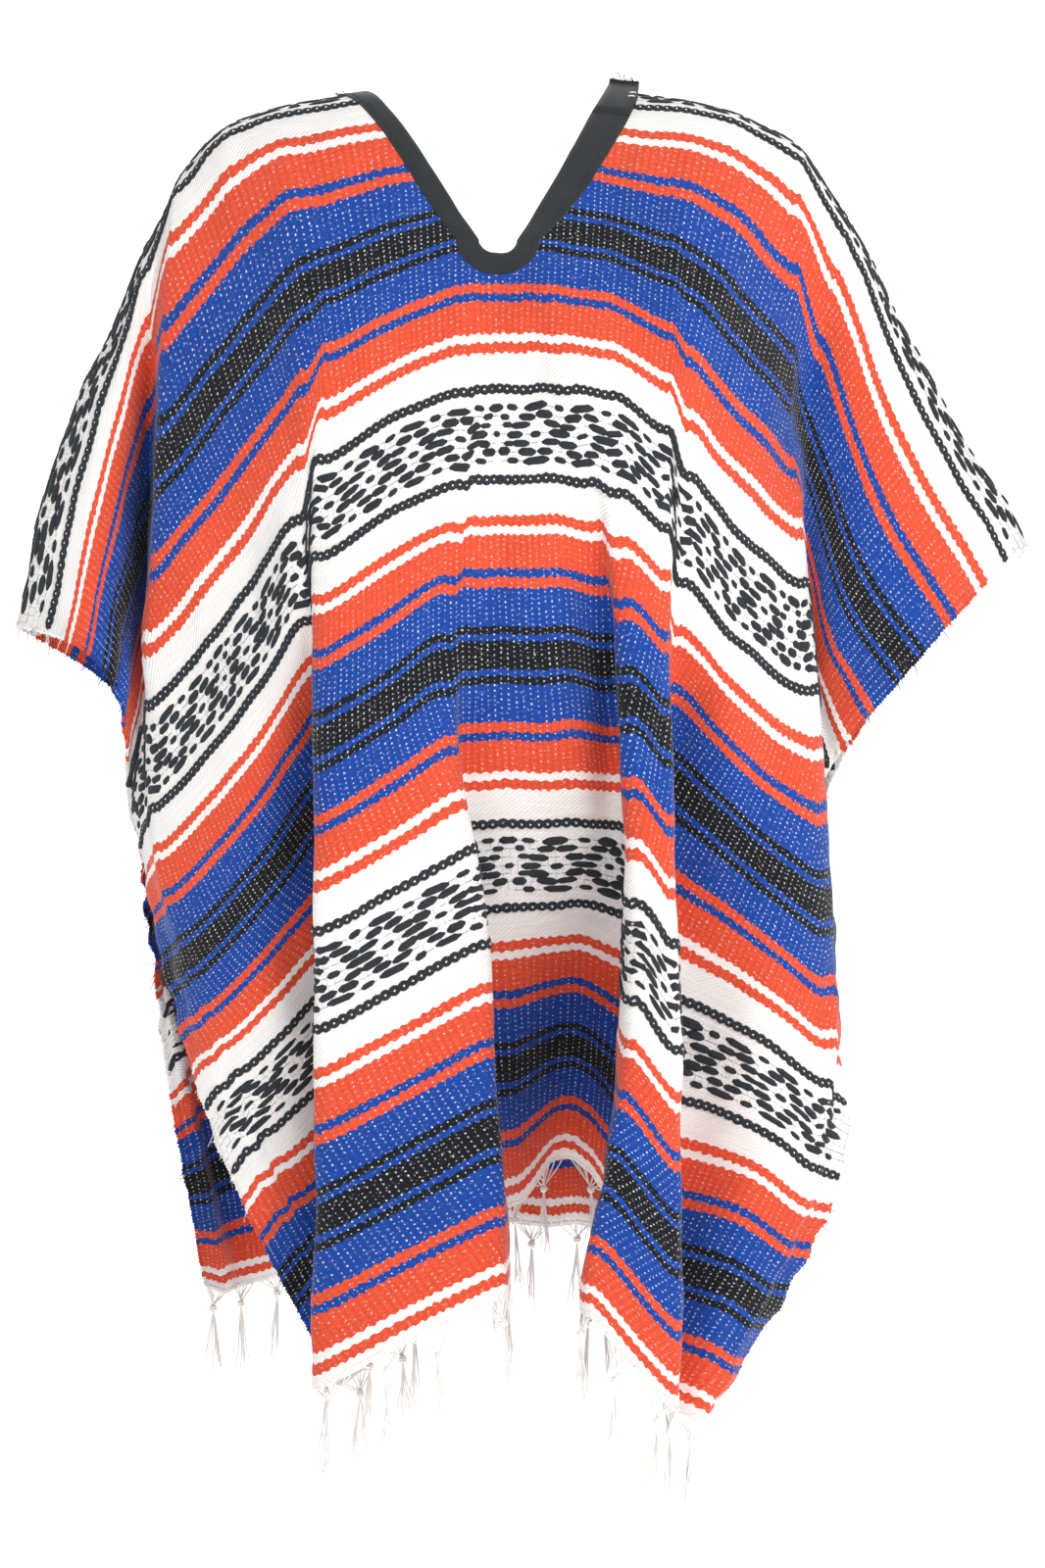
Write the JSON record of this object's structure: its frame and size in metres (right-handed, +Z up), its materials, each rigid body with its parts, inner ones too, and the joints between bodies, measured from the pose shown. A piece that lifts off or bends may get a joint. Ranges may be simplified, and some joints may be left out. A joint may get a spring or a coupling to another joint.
{
  "type": "mexican poncho",
  "caption": "Striped falsa blanket poncho in its worn, hollow pose: one woven panel over the shoulders, taped V neck, open sides, knotted fringe hems.",
  "frame": {"origin": "middle of the neck opening on the shoulder fold, where the wearer's shoulders hold the garment up", "axes": "+Z up; -Y is the front of the garment, so +Y is its back; +X is the wearer's left"},
  "size_m": [0.8156, 0.4063, 1.1406],
  "materials": {
    "falsa_cloth": "handwoven coarse cotton and acrylic in blue, red-orange, black and white stripes",
    "neck_tape": "charcoal twill tape",
    "fringe_yarn": "white cotton warp ends, knotted"
  },
  "bodies": {
    "root": {"cloth_front": "falsa_cloth", "cloth_back": "falsa_cloth", "neck_binding": "neck_tape", "neck_binding_lap": "neck_tape", "fringe_front": "fringe_yarn", "fringe_back": "fringe_yarn"}
  },
  "joints": []
}
